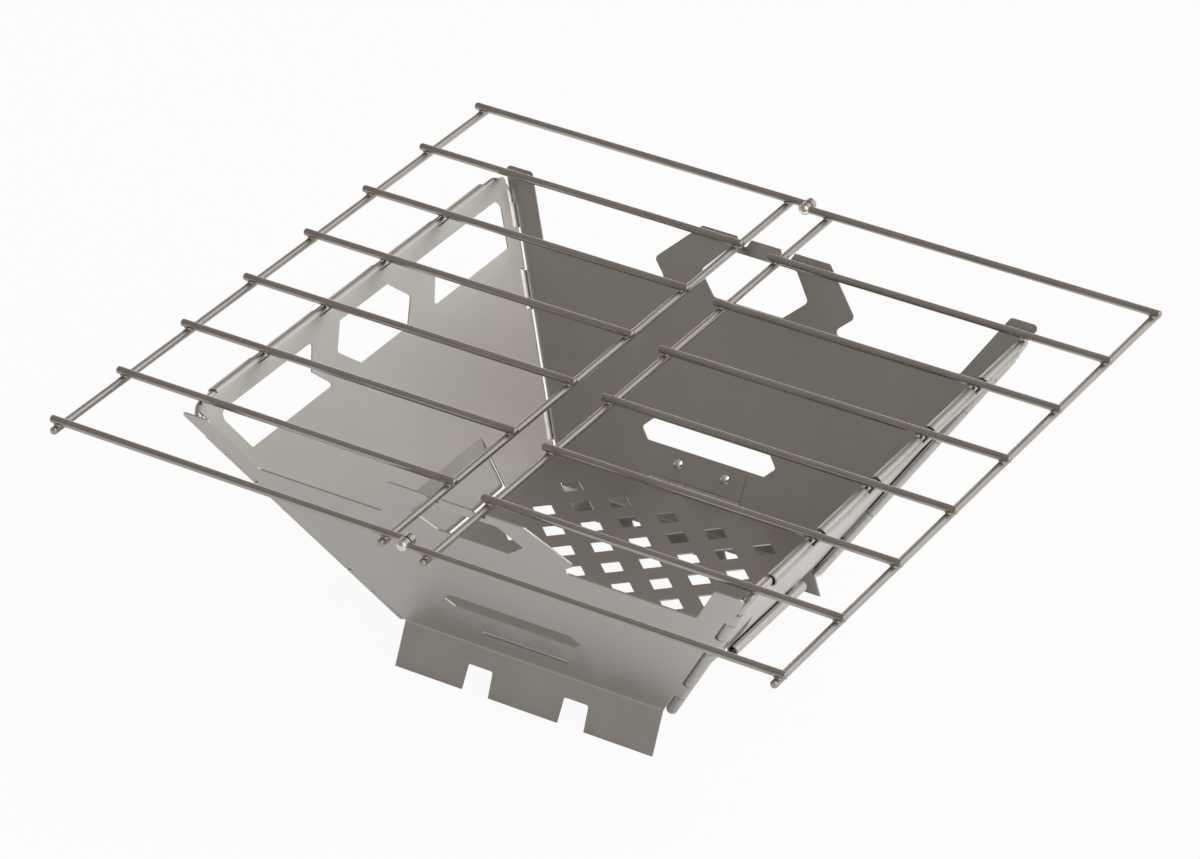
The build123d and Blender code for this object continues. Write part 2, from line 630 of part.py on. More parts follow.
def hinge_rivet(number):
    """Rivet through the two panels' eyes at one end of the grate."""
    y = (bar_y(number, -1) + bar_y(number, 1)) / 2
    grip = PANEL_OFFSET + EYE_THICKNESS + 2 * PIN_RUN
    place = Plane(origin=(0, y, HINGE_Z), z_dir=(0, 1, 0))
    head = Pos(0, 0, grip / 2) * dome(HINGE_RIVET_HEAD_D, HINGE_RIVET_HEAD_H)
    rivet = Cylinder(HINGE_RIVET_D / 2, grip) + head + mirror(head, Plane.XY)
    return place.location * rivet


def all_nodes():
    """Every separate piece, by the name of its file."""
    nodes = {
        "front_wall": end_wall(with_slot=True),
        "back_wall": Rot(0, 0, 180) * end_wall(with_slot=False),
        "left_wall": standing_side_wall(LEFT, -1),
        "right_wall": standing_side_wall(RIGHT, 1),
        "left_corner_rod": corner_rod(-1),
        "right_corner_rod": corner_rod(1),
        "floor_plate": floor_plate(),
        "floor_hinge_leaf": hinge_leaf(),
        "floor_hinge_pin": hinge_pin(),
        "floor_hinge_rivets": leaf_rivets(),
    }
    for side, panel in ((-1, "grate_left"), (1, "grate_right")):
        rails = [grate_rail(side, INNER_RAIL_X), grate_rail(side, OUTER_RAIL_X)]
        nodes[panel + "_inner_rail"] = rails[0]
        nodes[panel + "_outer_rail"] = rails[1]
        for number in range(1, BAR_COUNT + 1):
            nodes[f"{panel}_bar_{number}"] = grate_bar(side, number, rails)
    nodes["grate_hinge_rivet_front"] = hinge_rivet(1)
    nodes["grate_hinge_rivet_back"] = hinge_rivet(BAR_COUNT)
    return nodes


def main():
    os.makedirs("parts", exist_ok=True)
    for name, solid in all_nodes().items():
        export_step(solid, f"parts/{name}.step")
    print(f"rod centre X {ROD_X:.2f}, bar Z {BAR_Z:.2f}, rail Z {RAIL_Z:.2f}")
    print(f"floor hinge pin Y {PIN_Y:.3f} Z {PIN_Z:.3f}, grate hinge Z {HINGE_Z:.3f}")


main()
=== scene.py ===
"""Steel finishes, weld nuggets and a studio for a folding fire box grill."""

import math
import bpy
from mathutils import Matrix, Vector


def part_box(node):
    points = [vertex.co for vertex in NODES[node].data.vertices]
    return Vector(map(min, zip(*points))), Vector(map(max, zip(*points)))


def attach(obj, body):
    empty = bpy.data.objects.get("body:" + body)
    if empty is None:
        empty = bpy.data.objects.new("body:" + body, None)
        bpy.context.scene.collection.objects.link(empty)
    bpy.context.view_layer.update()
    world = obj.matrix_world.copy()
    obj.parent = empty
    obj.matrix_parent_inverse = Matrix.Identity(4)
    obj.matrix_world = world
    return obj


bl_info = {
    "name": "Fire Box Grill",
    "version": (1, 0, 0),
    "blender": (4, 5, 0),
    "location": "3D View > Sidebar > Fire Box",
    "description": "Finishes the sheet, rods and grate of a folding fire box grill",
    "category": "Object",
}

import bmesh
import bpy
from bpy.props import FloatProperty, FloatVectorProperty, PointerProperty
from mathutils import Matrix, Vector, noise

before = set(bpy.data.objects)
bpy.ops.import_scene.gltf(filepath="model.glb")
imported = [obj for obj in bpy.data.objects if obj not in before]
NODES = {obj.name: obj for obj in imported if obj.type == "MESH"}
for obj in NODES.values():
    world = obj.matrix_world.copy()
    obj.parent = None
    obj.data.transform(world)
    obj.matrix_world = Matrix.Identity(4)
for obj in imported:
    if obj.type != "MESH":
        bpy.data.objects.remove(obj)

# The box, in metres. Each wall leans out from the fold at its foot.
SHEET = 0.001
FOLD_Z = 0.028
FOLD_X = 0.0945  # from the middle of the box to a side wall's fold
FOLD_Y = 0.096  # and to an end wall's fold
SIDE_LEAN = math.radians(31.0)
END_LEAN = math.radians(29.4)

# The grate, in metres.
BAR_COUNT = 8
BAR_PITCH = 0.070
INNER_RAIL_X = 0.0162
OUTER_RAIL_X = 0.2525

# Where a mark on the steel starts and where it is full. Distances and heights are in metres.
FLAT_SHEET = (0.0009, 0.0006)  # distance from the sheet's middle plane
ROLLED_SHEET = (0.0026, 0.0036)  # distance from that plane
ABOVE_FOLD = (FOLD_Z, FOLD_Z + 0.001)  # height
FOLD_HIGHLIGHT_BAND = (0.0013, 0.0003)  # distance from the fold's height, for the painted highlight along the fold
WELD_TINT = (0.011, 0.003)  # distance from a weld along its wire
CUT_FACE = (0.75, 0.35)  # cosine between a face's normal and the sheet's
LEANS_BELOW = 0.9  # a sheet whose normal stands more upright than this has no fold

NUGGET_FLATNESS = 0.25  # half a nugget's height, as a share of its width
NUGGET_SPREAD = 0.16  # how uneven its outline is
NUGGET_RINGS = 6
NUGGET_STEPS = 14
NUGGET_ROUGHNESS = 0.28
NUGGET_RELIEF = 2  # times the wire's relief

FRAME_WIDTH = 1200  # pixels that the focal length is counted in
SENSOR_WIDTH = 36.0  # millimetres

FLOOR_RADIUS = 9.0
FLOOR_SIDES = 96
FLOOR_WHITE = 0.94  # share of plain white in what the camera sees of the floor
MIRRORED_FRONT = 0.45  # the same share in the metal's reflections of the floor in front
MIRRORED_RISE = 0.48  # what the floor behind adds to it
MIRRORED_Y = (-0.1, 0.08)  # from where to where it rises
UNDER_BOX_X = (0.115, 0.090)  # right under the box the reflected floor has no such white
UNDER_BOX_Y = (0.135, 0.100)

# A soft oval shade on the floor, under the front of the box.
SHADE_X = -0.036
SHADE_Y = -0.046
SHADE_REACH_X = 0.062
SHADE_REACH_Y = 0.017
SHADE_EDGE = (1.0, 0.05)  # squared share of the reach where it starts and where it is full
SHADE_DEPTH = 0.78
SHADE_COLOUR = (0.06, 0.05, 0.045)

# Light from the world. A spread gives the cosines at which a light starts and is full.
BRIGHT_WAY = (0.95, 0.2, 0.25)
BRIGHT_SPREAD = (0.0, 0.75)
BACKDROP_WAY = (-0.6, 0.8, 0)
BACKDROP_SPREAD = (0.55, 0.95)
BACKDROP_HEIGHT = (0.42, 0.12)  # it fades out upward
TOP_SPREAD = (0.78, 1.0)

# Lamps, in metres.
LAMP_SIZE = 1.4
KEY_PLACE = (1.6, 0.6, 1.9)
KEY_TARGET = (0, 0, 0.1)
SIDE_PLACE = (1.5, -0.6, 1.75)
SIDE_TARGET = (-0.1, 0.05, 0.1)

MIX_COLOURS = (6, 7)  # a Mix node's inputs for two colours
MIX_RESULT = 2  # and its output for a colour


class Socket:
    """A shader socket that can be used in sums, products and ratios."""

    def __init__(self, finish, socket):
        self.finish = finish
        self.socket = socket

    def math(self, operation, *others):
        """Add a Math node that works on this socket and on others or plain numbers."""
        values = {i: v for i, v in enumerate((self, *others))}
        return self.finish.add("ShaderNodeMath", {"operation": operation}, values)

    def __add__(self, other):
        return self.math("ADD", other)

    __radd__ = __add__

    def __sub__(self, other):
        return self.math("SUBTRACT", other)

    def __rsub__(self, other):
        return (self * -1) + other

    def __mul__(self, other):
        return self.math("MULTIPLY", other)

    __rmul__ = __mul__

    def __truediv__(self, other):
        return self.math("DIVIDE", other)

    def __abs__(self):
        return self.math("ABSOLUTE")

    def ramp(self, low, high):
        """0 at low and 1 at high, eased between them. low may be the larger."""
        values = {"Value": self, "From Min": low, "From Max": high}
        return self.finish.add("ShaderNodeMapRange", {"interpolation_type": "SMOOTHSTEP"}, values)


class Finish:
    """Nodes of one material or world."""

    def __init__(self, owner):
        owner.use_nodes = True
        self.owner = owner
        self.tree = owner.node_tree
        self.tree.nodes.clear()

    def add(self, kind, settings=None, inputs=None, output=0):
        """Add a node, apply its settings, fill its sockets and return one output."""
        node = self.tree.nodes.new(kind)
        for name, value in (settings or {}).items():
            setattr(node, name, value)
        for name, value in (inputs or {}).items():
            if isinstance(value, Socket):
                self.tree.links.new(value.socket, node.inputs[name])
            else:
                node.inputs[name].default_value = value
        return Socket(self, node.outputs[output])

    def dot(self, vector, direction):
        """How far a vector reaches along a direction."""
        inputs = {0: vector, 1: tuple(direction)}
        return self.add("ShaderNodeVectorMath", {"operation": "DOT_PRODUCT"}, inputs, "Value")

    def stretched(self, x, y, z):
        """Coordinates for noise drawn out along an axis, each already times its own scale."""
        return self.add("ShaderNodeCombineXYZ", {}, {"X": x, "Y": y, "Z": z})

    def cloud(self, place, scale, detail=2.0, roughness=0.5):
        """Soft noise from 0 to 1. A larger scale makes it finer."""
        inputs = {"Vector": place, "Scale": scale, "Detail": detail, "Roughness": roughness}
        return self.add("ShaderNodeTexNoise", {}, inputs, "Fac")

    def blend(self, factor, a, b):
        """Mix two colours. Plain colours are given as three numbers."""
        inputs = {0: factor}
        for number, colour in zip(MIX_COLOURS, (a, b)):
            inputs[number] = colour if isinstance(colour, Socket) else (*colour, 1.0)
        return self.add("ShaderNodeMix", {"data_type": "RGBA"}, inputs, MIX_RESULT)

    def steel(self, colour, roughness, height, depth):
        """Finish the material as bare steel, with a relief of the given depth."""
        bump = {"Height": height, "Distance": depth, "Strength": 1.0}
        normal = self.add("ShaderNodeBump", {}, bump)
        inputs = {"Base Color": colour, "Metallic": 1.0, "Roughness": roughness, "Normal": normal}
        shader = self.add("ShaderNodeBsdfPrincipled", {}, inputs)
        self.add_output("ShaderNodeOutputMaterial", shader)
        return self.owner

    def add_output(self, kind, shader):
        """Link the finished shader to the owner's surface."""
        node = self.tree.nodes.new(kind)
        self.tree.links.new(shader.socket, node.inputs["Surface"])


def plain(colour):
    """A property's colour as three numbers."""
    return tuple(colour)[:3]


def sheet_steel(name, settings, across, up, out, level):
    """Satin sheet. across, up and out are the sheet's own axes, and level is its plane's."""
    f = Finish(bpy.data.materials.new(name))
    place = f.add("ShaderNodeTexCoord", output="Object")
    facing = f.add("ShaderNodeTexCoord", output="Normal")
    u = f.dot(place, across)
    v = f.dot(place, up)
    w = f.dot(place, out) - level
    flat = abs(f.dot(facing, out))
    # Cut edges get their own colour, partly the bare edge's own tone and partly a painted highlight,
    # and are a little rougher.
    cut_edge_and_highlight = flat.ramp(*CUT_FACE) * abs(w).ramp(*FLAT_SHEET)
    height = f.dot(place, (0, 0, 1))
    rolled = abs(w).ramp(*ROLLED_SHEET) * height.ramp(*ABOVE_FOLD)
    mottle = f.cloud(place, scale=8.0, detail=3.0, roughness=0.55)
    smear = f.cloud(f.stretched(u * 60, v * 14, w * 60), scale=1.0, detail=3.0, roughness=0.6)
    grain = f.cloud(f.stretched(u * 1500, v * 24, w * 1500), scale=1.0)
    tooling = f.cloud(place, scale=320.0, detail=3.0, roughness=0.65)
    tone = mottle * 0.7 + smear * 0.35 + grain * 0.2 - 0.12
    colour = f.blend(tone, plain(settings.dark), plain(settings.light))
    colour = f.blend(rolled * tooling.ramp(0.5, 0.72) * 0.5, colour, plain(settings.scuff))
    if abs(out.z) < LEANS_BELOW:
        # Painted highlight: a lighter line painted into the colour along the fold.
        bend = abs(height - FOLD_Z).ramp(*FOLD_HIGHLIGHT_BAND)
        colour = f.blend(bend * 0.55, colour, plain(settings.bend))
    # Partly painted highlight: the cut edges take the edge colour, which also stands in for the bare
    # edge's own tone.
    colour = f.blend(cut_edge_and_highlight, colour, plain(settings.edge))
    rough = settings.roughness + (smear - 0.5) * 0.16 + (grain - 0.5) * 0.12
    rough = rough + rolled * (tooling - 0.5) * 0.2 + cut_edge_and_highlight * 0.08
    relief = grain * (1 - cut_edge_and_highlight) * 0.5 + smear * 0.6
    relief = relief + rolled * tooling * 1.4 + cut_edge_and_highlight * tooling * 0.8
    return f.steel(colour, rough, relief, settings.relief)


def wire_steel(name, settings, along, crossings):
    """Drawn wire along X or Y. crossings gives the distance to the nearest weld from x and y."""
    f = Finish(bpy.data.materials.new(name))
    place = f.add("ShaderNodeTexCoord", output="Object")
    x = f.dot(place, (1, 0, 0))
    y = f.dot(place, (0, 1, 0))
    z = f.dot(place, (0, 0, 1))
    run, side = (x, y) if along == "X" else (y, x)
    draw = f.cloud(f.stretched(run * 18, side * 1100, z * 1100), scale=1.0)
    patch = f.cloud(f.stretched(run * 40, side * 200, z * 200), scale=1.0, detail=3.0, roughness=0.6)
    speck = f.cloud(place, scale=700.0, roughness=0.6)
    heat = crossings(x, y).ramp(*WELD_TINT) * (patch * 0.8 + 0.4)
    tone = draw * 0.5 + patch * 0.6 - 0.05
    colour = f.blend(tone, plain(settings.dark), plain(settings.light))
    colour = f.blend(heat * 0.5, colour, plain(settings.heat))
    colour = f.blend(speck.ramp(0.66, 0.74) * 0.25, colour, plain(settings.heat))
    rough = settings.roughness + (patch - 0.5) * 0.16 + heat * 0.1
    return f.steel(colour, rough, draw * 0.6 + speck * 0.25 + patch * 0.6, settings.relief)


def rod_steel(name, settings):
    """Bright rod or rivet, with marks from the dies."""
    f = Finish(bpy.data.materials.new(name))
    place = f.add("ShaderNodeTexCoord", output="Object")
    patch = f.cloud(place, scale=90.0, detail=3.0, roughness=0.6)
    marks = f.cloud(place, scale=900.0, roughness=0.6)
    colour = f.blend(patch * 0.8 + marks * 0.3 - 0.05, plain(settings.dark), plain(settings.light))
    rough = settings.roughness + (patch - 0.5) * 0.12
    return f.steel(colour, rough, patch * 0.5 + marks * 0.6, settings.relief)


def weld_steel(name, settings):
    """Glossy, lumpy metal of the weld nuggets, brown-grey in its hollows."""
    f = Finish(bpy.data.materials.new(name))
    place = f.add("ShaderNodeTexCoord", output="Object")
    lumps = f.cloud(place, scale=900.0, detail=3.0, roughness=0.6)
    colour = f.blend(lumps.ramp(0.3, 0.6), plain(settings.heat), plain(settings.light))
    rough = NUGGET_ROUGHNESS + (lumps - 0.5) * 0.2
    return f.steel(colour, rough, lumps, settings.relief * NUGGET_RELIEF)


def give(names, material):
    """Put a material on CAD nodes."""
    for name in names:
        slots = NODES[name].data.materials
        slots.clear()
        slots.append(material)


def wall_axes(direction):
    """A wall's axes and its plane's level, from the compass side that it stands on."""
    side_wall = direction in ("left", "right")
    sign = 1 if direction in ("right", "back") else -1
    lean = SIDE_LEAN if side_wall else END_LEAN
    if side_wall:
        across = Vector((0, 1, 0))
        out = Vector((sign * math.cos(lean), 0, -math.sin(lean)))
        up = Vector((sign * math.sin(lean), 0, math.cos(lean)))
        level = out.dot(Vector((sign * FOLD_X, 0, FOLD_Z)))
    else:
        across = Vector((1, 0, 0))
        out = Vector((0, sign * math.cos(lean), -math.sin(lean)))
        up = Vector((0, sign * math.sin(lean), math.cos(lean)))
        level = out.dot(Vector((0, sign * FOLD_Y, FOLD_Z)))
    return across, up, out, level


class FireBoxSheet(bpy.types.PropertyGroup):
    """Satin stainless sheet of the walls and the floor"""

    light: FloatVectorProperty(
        name="Light tone", description="Brighter patches of the sheet",
        subtype="COLOR", default=(0.568, 0.552, 0.522), min=0, max=1)
    dark: FloatVectorProperty(
        name="Dark tone", description="Duller patches of the sheet",
        subtype="COLOR", default=(0.452, 0.428, 0.397), min=0, max=1)
    # The cut edge colour is partly the bare edge's own tone and partly a painted highlight along the
    # sheet's edges.
    edge: FloatVectorProperty(
        name="Cut edge", description="Bare cut edges of the sheet",
        subtype="COLOR", default=(0.52, 0.50, 0.465), min=0, max=1)
    # Painted highlight: the bright line along the folds is painted into the sheet's colour.
    bend: FloatVectorProperty(
        name="Bend", description="Burnished line along the folds",
        subtype="COLOR", default=(0.74, 0.72, 0.68), min=0, max=1)
    scuff: FloatVectorProperty(
        name="Scuffs", description="Marks of the rolling tool on the knuckles",
        subtype="COLOR", default=(0.36, 0.33, 0.295), min=0, max=1)
    roughness: FloatProperty(
        name="Roughness", description="How much the satin surface blurs reflections",
        subtype="FACTOR", default=0.36, min=0.05, max=1)
    relief: FloatProperty(
        name="Relief", description="Depth of grain and rolling marks",
        subtype="DISTANCE", default=0.00003, min=0, max=0.001, precision=6)


class FireBoxWire(bpy.types.PropertyGroup):
    """Drawn wire of the grate"""

    light: FloatVectorProperty(
        name="Light tone", description="Brighter stretches of the wire",
        subtype="COLOR", default=(0.49, 0.468, 0.435), min=0, max=1)
    dark: FloatVectorProperty(
        name="Dark tone", description="Duller stretches of the wire",
        subtype="COLOR", default=(0.33, 0.307, 0.277), min=0, max=1)
    heat: FloatVectorProperty(
        name="Weld tint", description="Brown tint beside the welds",
        subtype="COLOR", default=(0.30, 0.262, 0.222), min=0, max=1)
    roughness: FloatProperty(
        name="Roughness", description="How much the drawn surface blurs reflections",
        subtype="FACTOR", default=0.27, min=0.05, max=1)
    relief: FloatProperty(
        name="Relief", description="Depth of the drawing marks",
        subtype="DISTANCE", default=0.00004, min=0, max=0.001, precision=6)
    nugget: FloatProperty(
        name="Weld width", description="Width of the metal squeezed out at a weld",
        subtype="DISTANCE", unit="LENGTH", default=0.006, min=0.001, max=0.02, precision=5)


class FireBoxRivet(bpy.types.PropertyGroup):
    """Polished rivets and hinge pin"""

    light: FloatVectorProperty(
        name="Light tone", description="Brighter patches",
        subtype="COLOR", default=(0.86, 0.845, 0.81), min=0, max=1)
    dark: FloatVectorProperty(
        name="Dark tone", description="Duller patches",
        subtype="COLOR", default=(0.68, 0.66, 0.62), min=0, max=1)
    roughness: FloatProperty(
        name="Roughness", description="How much a rivet blurs reflections",
        subtype="FACTOR", default=0.15, min=0.05, max=1)
    relief: FloatProperty(
        name="Relief", description="Depth of the setting marks",
        subtype="DISTANCE", default=0.00002, min=0, max=0.001, precision=6)


class FireBoxRod(bpy.types.PropertyGroup):
    """Bent corner rods"""

    light: FloatVectorProperty(
        name="Light tone", description="Brighter patches",
        subtype="COLOR", default=(0.64, 0.625, 0.595), min=0, max=1)
    dark: FloatVectorProperty(
        name="Dark tone", description="Duller patches",
        subtype="COLOR", default=(0.42, 0.40, 0.37), min=0, max=1)
    roughness: FloatProperty(
        name="Roughness", description="How much the rod blurs reflections",
        subtype="FACTOR", default=0.28, min=0.05, max=1)
    relief: FloatProperty(
        name="Relief", description="Depth of the handling marks",
        subtype="DISTANCE", default=0.00003, min=0, max=0.001, precision=6)


class FireBoxStudio(bpy.types.PropertyGroup):
    """Camera, floor and light"""

    eye: FloatVectorProperty(
        name="Eye point", description="Where the camera stands",
        subtype="TRANSLATION", unit="LENGTH", default=(1.4203, -2.4838, 1.8744))
    azimuth: FloatProperty(
        name="Azimuth", description="Turn of the camera round the box, from the front",
        subtype="ANGLE", default=math.radians(29.962))
    elevation: FloatProperty(
        name="Elevation", description="Height angle of the camera",
        subtype="ANGLE", default=math.radians(31.074))
    roll: FloatProperty(
        name="Roll", description="Tilt of the camera about its own axis",
        subtype="ANGLE", default=math.radians(1.479))
    focal_px: FloatProperty(
        name="Focal length", description="Focal length in pixels of a 1200 pixel wide frame",
        default=5328.7, min=100)
    dim_level: FloatProperty(
        name="Dim level", description="Light from the box's left and front, where the camera stands",
        default=0.33, min=0, max=4)
    dim_tint: FloatVectorProperty(
        name="Dim tint", description="Warm tint of the dim side",
        subtype="COLOR", default=(1.0, 0.92, 0.885), min=0, max=1)
    bright_level: FloatProperty(
        name="Bright level", description="Light from the white side, at the box's right",
        default=1.1, min=0, max=4)
    top_level: FloatProperty(
        name="Top level", description="Light from above",
        default=0.5, min=0, max=4)
    backdrop_level: FloatProperty(
        name="Backdrop level", description="Light from low behind the box",
        default=1.5, min=0, max=4)
    key_power: FloatProperty(
        name="Key lamp", description="Lamp high on the right, a little behind the box",
        unit="POWER", default=9, min=0)
    side_power: FloatProperty(
        name="Side lamp", description="Lamp high on the right, a little before the box",
        unit="POWER", default=5.0, min=0)
    floor: FloatVectorProperty(
        name="Floor", description="Colour of the floor",
        subtype="COLOR", default=(0.86, 0.86, 0.86), min=0, max=1)


class FireBoxSettings(bpy.types.PropertyGroup):
    """Everything that can be changed on the fire box grill"""

    sheet: PointerProperty(type=FireBoxSheet, name="Sheet", description="Walls and floor")
    wire: PointerProperty(type=FireBoxWire, name="Wire", description="Grate wires")
    rod: PointerProperty(type=FireBoxRod, name="Rod", description="Corner rods")
    rivet: PointerProperty(type=FireBoxRivet, name="Rivet", description="Rivets and hinge pin")
    studio: PointerProperty(type=FireBoxStudio, name="Studio", description="Camera and light")


class FIREBOX_OT_walls(bpy.types.Operator):
    """Finish the four walls"""

    bl_idname = "firebox.walls"
    bl_label = "Walls"

    def execute(self, context):
        sheet = context.scene.firebox.sheet
        for direction in ("front", "back", "left", "right"):
            material = sheet_steel(f"{direction}_wall_steel", sheet, *wall_axes(direction))
            give([f"{direction}_wall"], material)
        return {"FINISHED"}


class FIREBOX_OT_floor(bpy.types.Operator):
    """Finish the perforated floor plate"""

    bl_idname = "firebox.floor"
    bl_label = "Floor Plate"

    def execute(self, context):
        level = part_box("floor_plate")[0].z + SHEET / 2
        axes = (Vector((1, 0, 0)), Vector((0, 1, 0)), Vector((0, 0, 1)))
        material = sheet_steel("floor_plate_steel", context.scene.firebox.sheet, *axes, level)
        give(["floor_plate"], material)
        return {"FINISHED"}


class FIREBOX_OT_floor_hinge(bpy.types.Operator):
    """Finish the floor's hinge leaf, pin and rivets"""

    bl_idname = "firebox.floor_hinge"
    bl_label = "Floor Hinge"

    def execute(self, context):
        settings = context.scene.firebox
        across, up, out, level = wall_axes("back")
        leaf = sheet_steel("hinge_leaf_steel", settings.sheet, across, up, out, level - SHEET)
        give(["floor_hinge_leaf"], leaf)
        give(["floor_hinge_pin", "floor_hinge_rivets"], rod_steel("hinge_rivet_steel", settings.rivet))
        return {"FINISHED"}


class FIREBOX_OT_corner_rods(bpy.types.Operator):
    """Finish the two bent rods"""

    bl_idname = "firebox.corner_rods"
    bl_label = "Corner Rods"

    def execute(self, context):
        material = rod_steel("corner_rod_steel", context.scene.firebox.rod)
        give(["left_corner_rod", "right_corner_rod"], material)
        return {"FINISHED"}


def first_bar_y(panel):
    """Middle of a panel's first bar, worked out from the second, which has no eye for a rivet."""
    low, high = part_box(f"grate_{panel}_bar_2")
    return (low.y + high.y) / 2 - BAR_PITCH


def to_rail(x, y):
    """Distance along a bar to the nearer of its two rails."""
    return abs(abs(abs(x) - (INNER_RAIL_X + OUTER_RAIL_X) / 2) - (OUTER_RAIL_X - INNER_RAIL_X) / 2)


class FIREBOX_OT_grate(bpy.types.Operator):
    """Finish the rails and cross bars of both grate panels"""

    bl_idname = "firebox.grate"
    bl_label = "Grate Wires"

    def execute(self, context):
        wire = context.scene.firebox.wire
        bars = wire_steel("cross_bar_steel", wire, "X", to_rail)
        for panel in ("left", "right"):
            start = first_bar_y(panel)

            def to_bar(x, y, start=start):
                return (y - start).math("PINGPONG", BAR_PITCH / 2)

            rails = wire_steel(f"{panel}_rail_steel", wire, "Y", to_bar)
            give([f"grate_{panel}_bar_{k}" for k in range(1, BAR_COUNT + 1)], bars)
            give([f"grate_{panel}_inner_rail", f"grate_{panel}_outer_rail"], rails)
        return {"FINISHED"}


def weld_nugget(mesh, centre, width, seed):
    """A small uneven lens of metal squeezed out between a bar and a rail.

    The seed says where the noise for its outline is read.
    """
    offset = Vector((seed * 3.7, seed * 1.3, 0))
    rows = []
    for i in range(1, NUGGET_RINGS):
        tilt = math.pi * i / NUGGET_RINGS
        row = []
        for j in range(NUGGET_STEPS):
            turn = 2 * math.pi * j / NUGGET_STEPS
            uneven = noise.noise(offset + Vector((math.cos(turn), math.sin(turn), 0)))
            spread = 1 + NUGGET_SPREAD * uneven
            x = math.sin(tilt) * math.cos(turn) * width / 2 * spread
            y = math.sin(tilt) * math.sin(turn) * width / 2 * spread
            z = math.cos(tilt) * width * NUGGET_FLATNESS
            row.append(mesh.verts.new(centre + Vector((x, y, z))))
        rows.append(row)
    top = mesh.verts.new(centre + Vector((0, 0, width * NUGGET_FLATNESS)))
    foot = mesh.verts.new(centre - Vector((0, 0, width * NUGGET_FLATNESS)))
    for a, b in zip(rows, rows[1:]):
        for j in range(NUGGET_STEPS):
            k = (j + 1) % NUGGET_STEPS
            mesh.faces.new((a[j], b[j], b[k], a[k]))
    for j in range(NUGGET_STEPS):
        k = (j + 1) % NUGGET_STEPS
        mesh.faces.new((top, rows[0][j], rows[0][k]))
        mesh.faces.new((foot, rows[-1][k], rows[-1][j]))


class FIREBOX_OT_welds(bpy.types.Operator):
    """Add a weld nugget at each crossing of a bar and a rail"""

    bl_idname = "firebox.welds"
    bl_label = "Grate Welds"

    def execute(self, context):
        wire = context.scene.firebox.wire
        material = weld_steel("weld_steel", wire)
        for panel, sign in (("left", -1), ("right", 1)):
            bar_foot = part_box(f"grate_{panel}_bar_2")[0].z
            rail_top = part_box(f"grate_{panel}_outer_rail")[1].z
            z = (bar_foot + rail_top) / 2
            bm = bmesh.new()
            for k in range(BAR_COUNT):
                y = first_bar_y(panel) + k * BAR_PITCH
                for x in (INNER_RAIL_X, OUTER_RAIL_X):
                    seed = k + x * 90 + sign * 11  # different at each weld
                    weld_nugget(bm, Vector((sign * x, y, z)), wire.nugget, seed)
            bmesh.ops.recalc_face_normals(bm, faces=bm.faces)
            data = bpy.data.meshes.new(f"grate_{panel}_welds")
            bm.to_mesh(data)
            bm.free()
            for polygon in data.polygons:
                polygon.use_smooth = True
            data.materials.append(material)
            piece = bpy.data.objects.new(f"grate_{panel}_welds", data)
            context.scene.collection.objects.link(piece)
            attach(piece, f"grate_{panel}")
        return {"FINISHED"}


class FIREBOX_OT_grate_hinge(bpy.types.Operator):
    """Finish the rivets that join the grate's panels"""

    bl_idname = "firebox.grate_hinge"
    bl_label = "Grate Hinge"

    def execute(self, context):
        material = rod_steel("grate_rivet_steel", context.scene.firebox.rivet)
        give(["grate_hinge_rivet_front", "grate_hinge_rivet_back"], material)
        return {"FINISHED"}


def studio_floor(studio):
    """A wide pale floor, nearly white to the camera, that keeps the box's shadow."""
    bm = bmesh.new()
    bmesh.ops.create_circle(bm, cap_ends=True, segments=FLOOR_SIDES, radius=FLOOR_RADIUS)
    data = bpy.data.meshes.new("studio_floor")
    bm.to_mesh(data)
    bm.free()
    floor = bpy.data.objects.new("studio_floor", data)
    bpy.context.scene.collection.objects.link(floor)
    f = Finish(bpy.data.materials.new("studio_floor"))
    path = "ShaderNodeLightPath"
    place = f.add("ShaderNodeTexCoord", output="Object")
    x = f.dot(place, (1, 0, 0))
    y = f.dot(place, (0, 1, 0))
    under_box = abs(x).ramp(*UNDER_BOX_X) * abs(y).ramp(*UNDER_BOX_Y)
    across = (x - SHADE_X) / SHADE_REACH_X
    along = (y - SHADE_Y) / SHADE_REACH_Y
    shade = (across * across + along * along).ramp(*SHADE_EDGE) * SHADE_DEPTH
    direct = f.add(path, output="Is Camera Ray") + f.add(path, output="Is Transmission Ray")
    mirrored = y.ramp(*MIRRORED_Y) * MIRRORED_RISE + MIRRORED_FRONT
    seen = direct * FLOOR_WHITE * (1 - shade)
    seen = seen + f.add(path, output="Is Glossy Ray") * mirrored * (1 - under_box)
    colour = f.blend(shade, plain(studio.floor), SHADE_COLOUR)
    matt = f.add("ShaderNodeBsdfDiffuse", {}, {"Color": colour})
    white = f.add("ShaderNodeEmission", {}, {"Color": (1, 1, 1, 1), "Strength": 1.0})
    mixed = f.add("ShaderNodeMixShader", {}, {0: seen, 1: matt, 2: white})
    f.add_output("ShaderNodeOutputMaterial", mixed)
    data.materials.append(f.owner)


